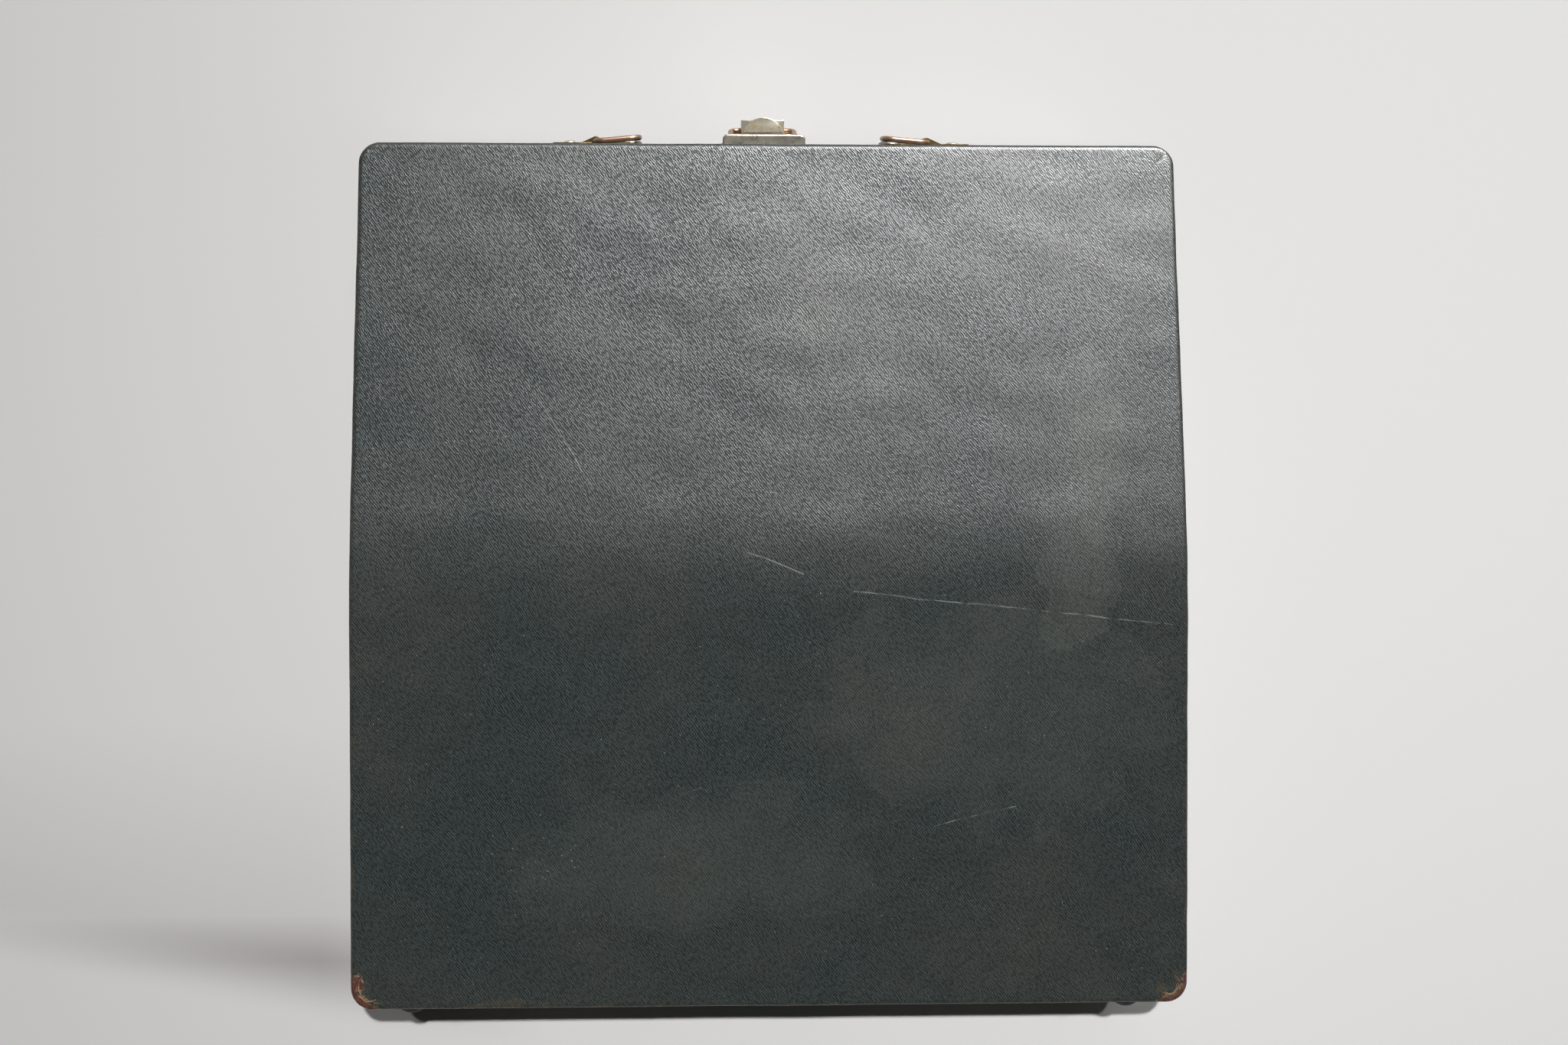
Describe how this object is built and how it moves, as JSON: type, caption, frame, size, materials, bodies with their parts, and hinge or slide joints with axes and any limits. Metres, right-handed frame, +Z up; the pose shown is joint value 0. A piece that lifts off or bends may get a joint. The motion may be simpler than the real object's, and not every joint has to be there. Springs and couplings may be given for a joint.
{
  "type": "portable typewriter in its carrying case",
  "caption": "Portable typewriter inside its closed, cloth-covered wooden carrying case with a sloping lid, a draw latch and strap loops.",
  "frame": {"origin": "middle of the bounding box, on the surface that the base feet stand on", "axes": "+Z up with the case lying on its base feet, +X to the typist's right, -Y towards the typist, where the latch is; the lid's hinges are at +Y"},
  "size_m": [0.32, 0.3636, 0.163],
  "materials": {
    "covered_wood": "plywood covered with dark green-grey grained leathercloth",
    "lining_cloth": "thin felted lining cloth",
    "nickel": "worn nickel plate, dull and pitted in places",
    "bronzed_wire": "steel wire with a brown rusted bronze finish",
    "rubber": "black rubber",
    "platen_rubber": "hard smooth black rubber",
    "enamel": "grey-green crinkle enamel on steel",
    "frame_enamel": "black japanned steel",
    "steel": "bright steel",
    "plastic": "moulded dark green plastic",
    "knob_plastic": "moulded black plastic",
    "ribbon_cloth": "inked woven ribbon",
    "brass": "plain brass"
  },
  "bodies": {
    "case_base": {"base_tray": "covered_wood", "base_lining": "lining_cloth", "hinge_leaves_base": "nickel", "hinge_pins": "steel", "latch_plate": "nickel", "latch_pin": "steel", "handle_plates": "nickel", "front_rivets": "nickel", "base_back_feet": "rubber", "base_feet": "rubber", "machine_frame": "frame_enamel", "machine_bushes": "rubber", "machine_screws": "steel", "body_shell": "enamel", "key_comb": "steel", "key_levers": "steel", "key_tops": "plastic", "type_segment": "steel", "typebars": "steel", "ribbon": "ribbon_cloth", "carriage_rails": "steel", "bell": "brass"},
    "lid": {"lid_shell": "covered_wood", "lid_lining": "lining_cloth", "hinge_leaves_lid": "nickel", "latch_keeper": "nickel", "lid_back_feet": "rubber"},
    "latch_lever": {"latch_lever": "nickel"},
    "latch_bail": {"latch_bail": "bronzed_wire"},
    "handle_loop_left": {"handle_loop_left": "bronzed_wire"},
    "handle_loop_right": {"handle_loop_right": "bronzed_wire"},
    "ribbon_cover": {"ribbon_cover": "enamel"},
    "typebar_left": {"typebar_left": "steel"},
    "typebar_right": {"typebar_right": "steel"},
    "key_left": {"key_lever_left": "steel", "key_top_left": "plastic"},
    "key_right": {"key_lever_right": "steel", "key_top_right": "plastic"},
    "space_bar": {"space_bar": "plastic"},
    "shift_keys": {"shift_levers": "steel", "shift_key_tops": "plastic"},
    "shift_lock": {"shift_lock": "plastic"},
    "backspace_key": {"backspace_key": "plastic"},
    "margin_release_key": {"margin_release_key": "plastic"},
    "ribbon_spool_left": {"ribbon_spool_left": "steel"},
    "ribbon_spool_right": {"ribbon_spool_right": "steel"},
    "ribbon_vibrator": {"ribbon_vibrator": "steel"},
    "ribbon_selector": {"ribbon_selector": "nickel"},
    "carriage": {"carriage_frame": "frame_enamel", "paper_table": "enamel"},
    "platen": {"platen": "platen_rubber", "platen_shaft": "steel", "platen_knobs": "knob_plastic"},
    "line_space_lever": {"line_space_lever": "nickel"},
    "paper_bail": {"paper_bail": "nickel"},
    "feed_roller": {"feed_roller": "rubber"},
    "paper_release_lever": {"paper_release_lever": "nickel"},
    "margin_stop_left": {"margin_stop_left": "steel"},
    "margin_stop_right": {"margin_stop_right": "steel"},
    "spring_drum": {"spring_drum": "steel"}
  },
  "joints": [
    {"name": "lid_hinge", "type": "hinge", "parent": "case_base", "child": "lid", "pos_m": [0, 0.17861, 0.0472], "axis": [-1, 0, 0], "range_deg": [0, 105]},
    {"name": "latch_lever_turn", "type": "hinge", "parent": "case_base", "child": "latch_lever", "pos_m": [0, -0.17675, 0.02583], "axis": [1, 0, 0], "range_deg": [0, 100]},
    {"name": "latch_bail_turn", "type": "hinge", "parent": "latch_lever", "child": "latch_bail", "pos_m": [0, -0.17745, 0.03605], "axis": [1, 0, 0], "range_deg": [0, 45]},
    {"name": "handle_loop_left_swing", "type": "hinge", "parent": "case_base", "child": "handle_loop_left", "pos_m": [-0.073, -0.17418, 0.02646], "axis": [0, -0.1478, -0.989], "range_deg": [0, 164]},
    {"name": "handle_loop_right_swing", "type": "hinge", "parent": "case_base", "child": "handle_loop_right", "pos_m": [0.073, -0.17418, 0.02646], "axis": [0, 0.1478, 0.989], "range_deg": [0, 164]},
    {"name": "ribbon_cover_lift", "type": "hinge", "parent": "case_base", "child": "ribbon_cover", "pos_m": [0, 0.04251, 0.104], "axis": [-1, 0, 0], "range_deg": [0, 18]},
    {"name": "typebar_left_swing", "type": "hinge", "parent": "case_base", "child": "typebar_left", "pos_m": [-0.01648, 0.06198, 0.0523], "axis": [-0.9011, 0.3426, 0.2658], "range_deg": [0, 97.8]},
    {"name": "typebar_right_swing", "type": "hinge", "parent": "case_base", "child": "typebar_right", "pos_m": [0.01465, 0.06133, 0.0518], "axis": [0.9227, 0.3046, 0.2363], "range_deg": [-97.8, 0]},
    {"name": "key_left_press", "type": "hinge", "parent": "case_base", "child": "key_left", "pos_m": [0, 0.08651, 0.027], "axis": [1, 0, 0], "range_deg": [0, 2.6], "stiffness_Nm_per_rad": 1.5, "springref_deg": -1.72},
    {"name": "key_right_press", "type": "hinge", "parent": "case_base", "child": "key_right", "pos_m": [0, 0.08651, 0.027], "axis": [-1, 0, 0], "range_deg": [-2.6, 0], "stiffness_Nm_per_rad": 1.5, "springref_deg": 1.72},
    {"name": "space_bar_press", "type": "hinge", "parent": "case_base", "child": "space_bar", "pos_m": [0, 0.08651, 0.027], "axis": [1, 0, 0], "range_deg": [0, 1.8], "stiffness_Nm_per_rad": 6, "springref_deg": -2.86},
    {"name": "shift_press", "type": "hinge", "parent": "case_base", "child": "shift_keys", "pos_m": [0, 0.08651, 0.027], "axis": [1, 0, 0], "range_deg": [0, 2.6], "stiffness_Nm_per_rad": 6, "springref_deg": -2.86},
    {"name": "shift_lock_press", "type": "hinge", "parent": "case_base", "child": "shift_lock", "pos_m": [0, 0.08651, 0.027], "axis": [1, 0, 0], "range_deg": [0, 2.6], "stiffness_Nm_per_rad": 1.5, "springref_deg": -2.86},
    {"name": "backspace_press", "type": "hinge", "parent": "case_base", "child": "backspace_key", "pos_m": [0, 0.08651, 0.027], "axis": [1, 0, 0], "range_deg": [0, 2.6], "stiffness_Nm_per_rad": 1.5, "springref_deg": -2.86},
    {"name": "margin_release_press", "type": "hinge", "parent": "case_base", "child": "margin_release_key", "pos_m": [0, 0.08651, 0.027], "axis": [1, 0, 0], "range_deg": [0, 2.6], "stiffness_Nm_per_rad": 1.5, "springref_deg": -2.86},
    {"name": "ribbon_spool_left_turn", "type": "hinge", "parent": "case_base", "child": "ribbon_spool_left", "pos_m": [-0.086, 0.01051, 0.097], "axis": [0, 0, 1], "continuous": true},
    {"name": "ribbon_spool_right_turn", "type": "hinge", "parent": "case_base", "child": "ribbon_spool_right", "pos_m": [0.086, 0.01051, 0.097], "axis": [0, 0, 1], "continuous": true},
    {"name": "ribbon_vibrator_lift", "type": "slide", "parent": "case_base", "child": "ribbon_vibrator", "axis": [0, 0, 1], "range_m": [0, 0.009]},
    {"name": "ribbon_selector_turn", "type": "hinge", "parent": "case_base", "child": "ribbon_selector", "pos_m": [0.1289, -0.00349, 0.078], "axis": [1, 0, 0], "range_deg": [-16, 16]},
    {"name": "carriage_slide", "type": "slide", "parent": "case_base", "child": "carriage", "axis": [1, 0, 0], "range_m": [-0.011, 0.011]},
    {"name": "platen_turn", "type": "hinge", "parent": "carriage", "child": "platen", "pos_m": [0, 0.08051, 0.112], "axis": [1, 0, 0], "continuous": true},
    {"name": "line_space_press", "type": "hinge", "parent": "carriage", "child": "line_space_lever", "pos_m": [-0.119, 0.08651, 0.139], "axis": [0, 0, 1], "range_deg": [0, 24], "stiffness_Nm_per_rad": 0.5, "springref_deg": -1.15},
    {"name": "paper_bail_lift", "type": "hinge", "parent": "carriage", "child": "paper_bail", "pos_m": [0, 0.08851, 0.126], "axis": [-1, 0, 0], "range_deg": [0, 25]},
    {"name": "feed_roller_turn", "type": "hinge", "parent": "carriage", "child": "feed_roller", "pos_m": [0, 0.07251, 0.09334], "axis": [1, 0, 0], "continuous": true},
    {"name": "paper_release_pull", "type": "hinge", "parent": "carriage", "child": "paper_release_lever", "pos_m": [0.12205, 0.10251, 0.118], "axis": [1, 0, 0], "range_deg": [0, 20]},
    {"name": "margin_stop_left_slide", "type": "slide", "parent": "carriage", "child": "margin_stop_left", "axis": [1, 0, 0], "range_m": [-0.03, 0.03]},
    {"name": "margin_stop_right_slide", "type": "slide", "parent": "carriage", "child": "margin_stop_right", "axis": [1, 0, 0], "range_m": [-0.03, 0.03]},
    {"name": "spring_drum_turn", "type": "hinge", "parent": "case_base", "child": "spring_drum", "pos_m": [-0.092, 0.13651, 0.046], "axis": [0, 1, 0], "range_deg": [-41, 41]}
  ],
  "couplings": [
    {"joint": "key_left_press", "follows": "typebar_left_swing", "ratio": 0.026585},
    {"joint": "key_right_press", "follows": "typebar_right_swing", "ratio": 0.026585},
    {"joint": "ribbon_spool_right_turn", "follows": "ribbon_spool_left_turn", "ratio": 1},
    {"joint": "feed_roller_turn", "follows": "platen_turn", "ratio": -4},
    {"joint": "spring_drum_turn", "follows": "carriage_slide", "rad_per_m": 62.5}
  ]
}
